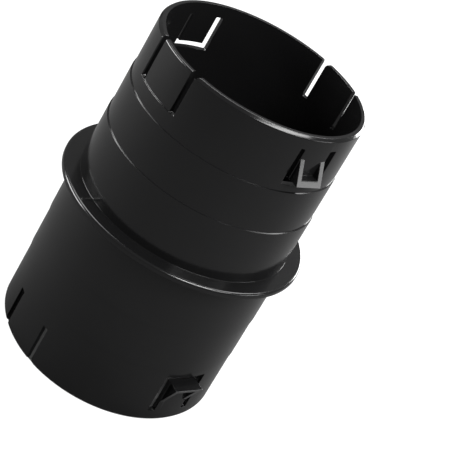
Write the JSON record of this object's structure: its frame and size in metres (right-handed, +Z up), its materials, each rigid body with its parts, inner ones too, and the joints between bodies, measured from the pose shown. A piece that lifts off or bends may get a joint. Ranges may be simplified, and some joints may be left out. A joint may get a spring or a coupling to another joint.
{
  "type": "drain pipe adapter",
  "caption": "Moulded black tube with a mid flange and two stepped ends, with slit spring flaps and barbed window latches that catch inside a corrugated drain pipe.",
  "frame": {"origin": "centre of the bottom rim's face, at the wider end, on the tube's axis", "axes": "+Z up along the tube's axis towards the narrower end; the latches face along X and the spring flaps along Y"},
  "size_m": [0.1212, 0.1212, 0.164],
  "materials": {
    "black_plastic": "satin black moulded polyethylene, smooth, with a soft sheen on its edges"
  },
  "bodies": {
    "root": {"adapter_body": "black_plastic"}
  },
  "joints": []
}
